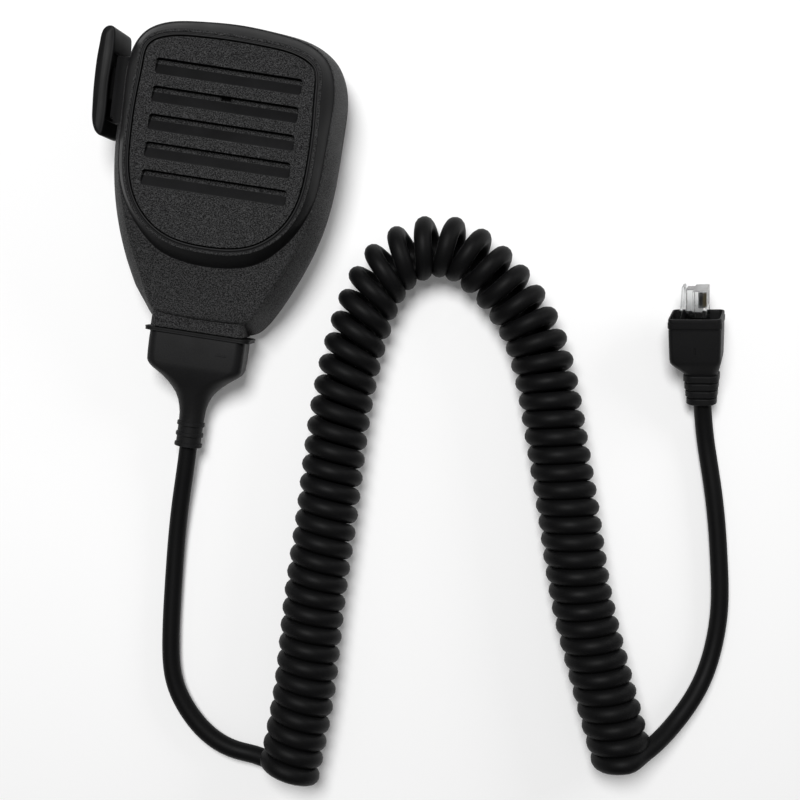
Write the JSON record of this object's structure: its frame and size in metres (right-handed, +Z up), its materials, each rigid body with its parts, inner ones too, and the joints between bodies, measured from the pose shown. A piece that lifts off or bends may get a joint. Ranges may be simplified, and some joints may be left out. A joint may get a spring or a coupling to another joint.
{
  "type": "hand microphone",
  "caption": "Handheld press-to-talk microphone with a grooved front panel, side key, hang-up stud, cord boot, curly cord and clear modular plug, lying on its back.",
  "frame": {"origin": "centre of the microphone's own bounding box on the table plane, without the free cord and its plug", "axes": "+Y to the top of the microphone, +X to its right seen from the front, +Z up out of the table; the microphone lies on its back, propped up by its hang-up stud"},
  "size_m": [0.2192, 0.2287, 0.0351],
  "materials": {
    "shell": "fine spark texture, black",
    "panel": "leather-grain texture, black",
    "key": "satin black",
    "rubber": "moulded matte black",
    "jacket": "matte black polyurethane jacket",
    "fabric": "woven screen",
    "steel": "nickel-plated steel",
    "brass": "gold flash over brass",
    "board": "green solder mask on glass fibre",
    "component": "moulded component body",
    "sleeve": "shrink sleeve",
    "white_plastic": "natural nylon",
    "clear_plastic": "clear polycarbonate",
    "wire_red": "insulated lead",
    "wire_white": "insulated lead",
    "wire_yellow": "insulated lead"
  },
  "bodies": {
    "microphone": {"front_case": "shell", "rear_case": "shell", "front_panel": "panel", "case_gasket": "rubber", "ptt_seal": "rubber", "capsule_holder": "rubber", "cord_boot": "rubber", "plug_boot": "rubber", "cord_root": "jacket", "cord_tail_mic": "jacket", "cord_coil": "jacket", "cord_tail_plug": "jacket", "dust_screen": "fabric", "ptt_spring_upper": "steel", "ptt_spring_lower": "steel", "microphone_capsule": "steel", "board_screw_1": "steel", "board_screw_2": "steel", "case_screw_1": "steel", "case_screw_2": "steel", "case_screw_3": "steel", "case_screw_4": "steel", "hangup_stud": "steel", "stud_screw": "steel", "stud_washer": "steel", "stud_nut": "steel", "cord_clamp": "steel", "clamp_screw_1": "steel", "clamp_screw_2": "steel", "switch_terminal_1": "brass", "switch_terminal_2": "brass", "switch_terminal_3": "brass", "ground_lug": "brass", "plug_contact_1": "brass", "plug_contact_2": "brass", "plug_contact_3": "brass", "plug_contact_4": "brass", "plug_contact_5": "brass", "plug_contact_6": "brass", "plug_contact_7": "brass", "plug_contact_8": "brass", "circuit_board": "board", "switch_body": "component", "amplifier_chip": "component", "lead_wire_3": "component", "capacitor_1": "sleeve", "capacitor_2": "sleeve", "connector_header": "white_plastic", "connector_plug": "white_plastic", "plug_body": "clear_plastic", "lead_wire_1": "wire_red", "lead_wire_2": "wire_white", "lead_wire_4": "wire_yellow"},
    "press_key": {"ptt_key": "key"},
    "plunger": {"switch_plunger": "white_plastic"},
    "latch": {"plug_latch": "clear_plastic"}
  },
  "joints": [
    {"name": "ptt_press", "type": "slide", "parent": "microphone", "child": "press_key", "axis": [1, 0, 0], "range_m": [0, 0.001], "stiffness_N_per_m": 900, "springref_m": -0.0008, "deforming": ["ptt_spring_upper", "ptt_spring_lower"]},
    {"name": "plunger_press", "type": "slide", "parent": "microphone", "child": "plunger", "axis": [1, 0, 0], "range_m": [0, 0.002]},
    {"name": "latch_press", "type": "hinge", "parent": "microphone", "child": "latch", "pos_m": [0.14955, 0.00628, 0.01366], "axis": [-0.275, -0.3293, 0.9033], "range_deg": [0, 9], "stiffness_Nm_per_rad": 0.03}
  ],
  "couplings": [
    {"joint": "plunger_press", "follows": "ptt_press", "ratio": 1}
  ]
}
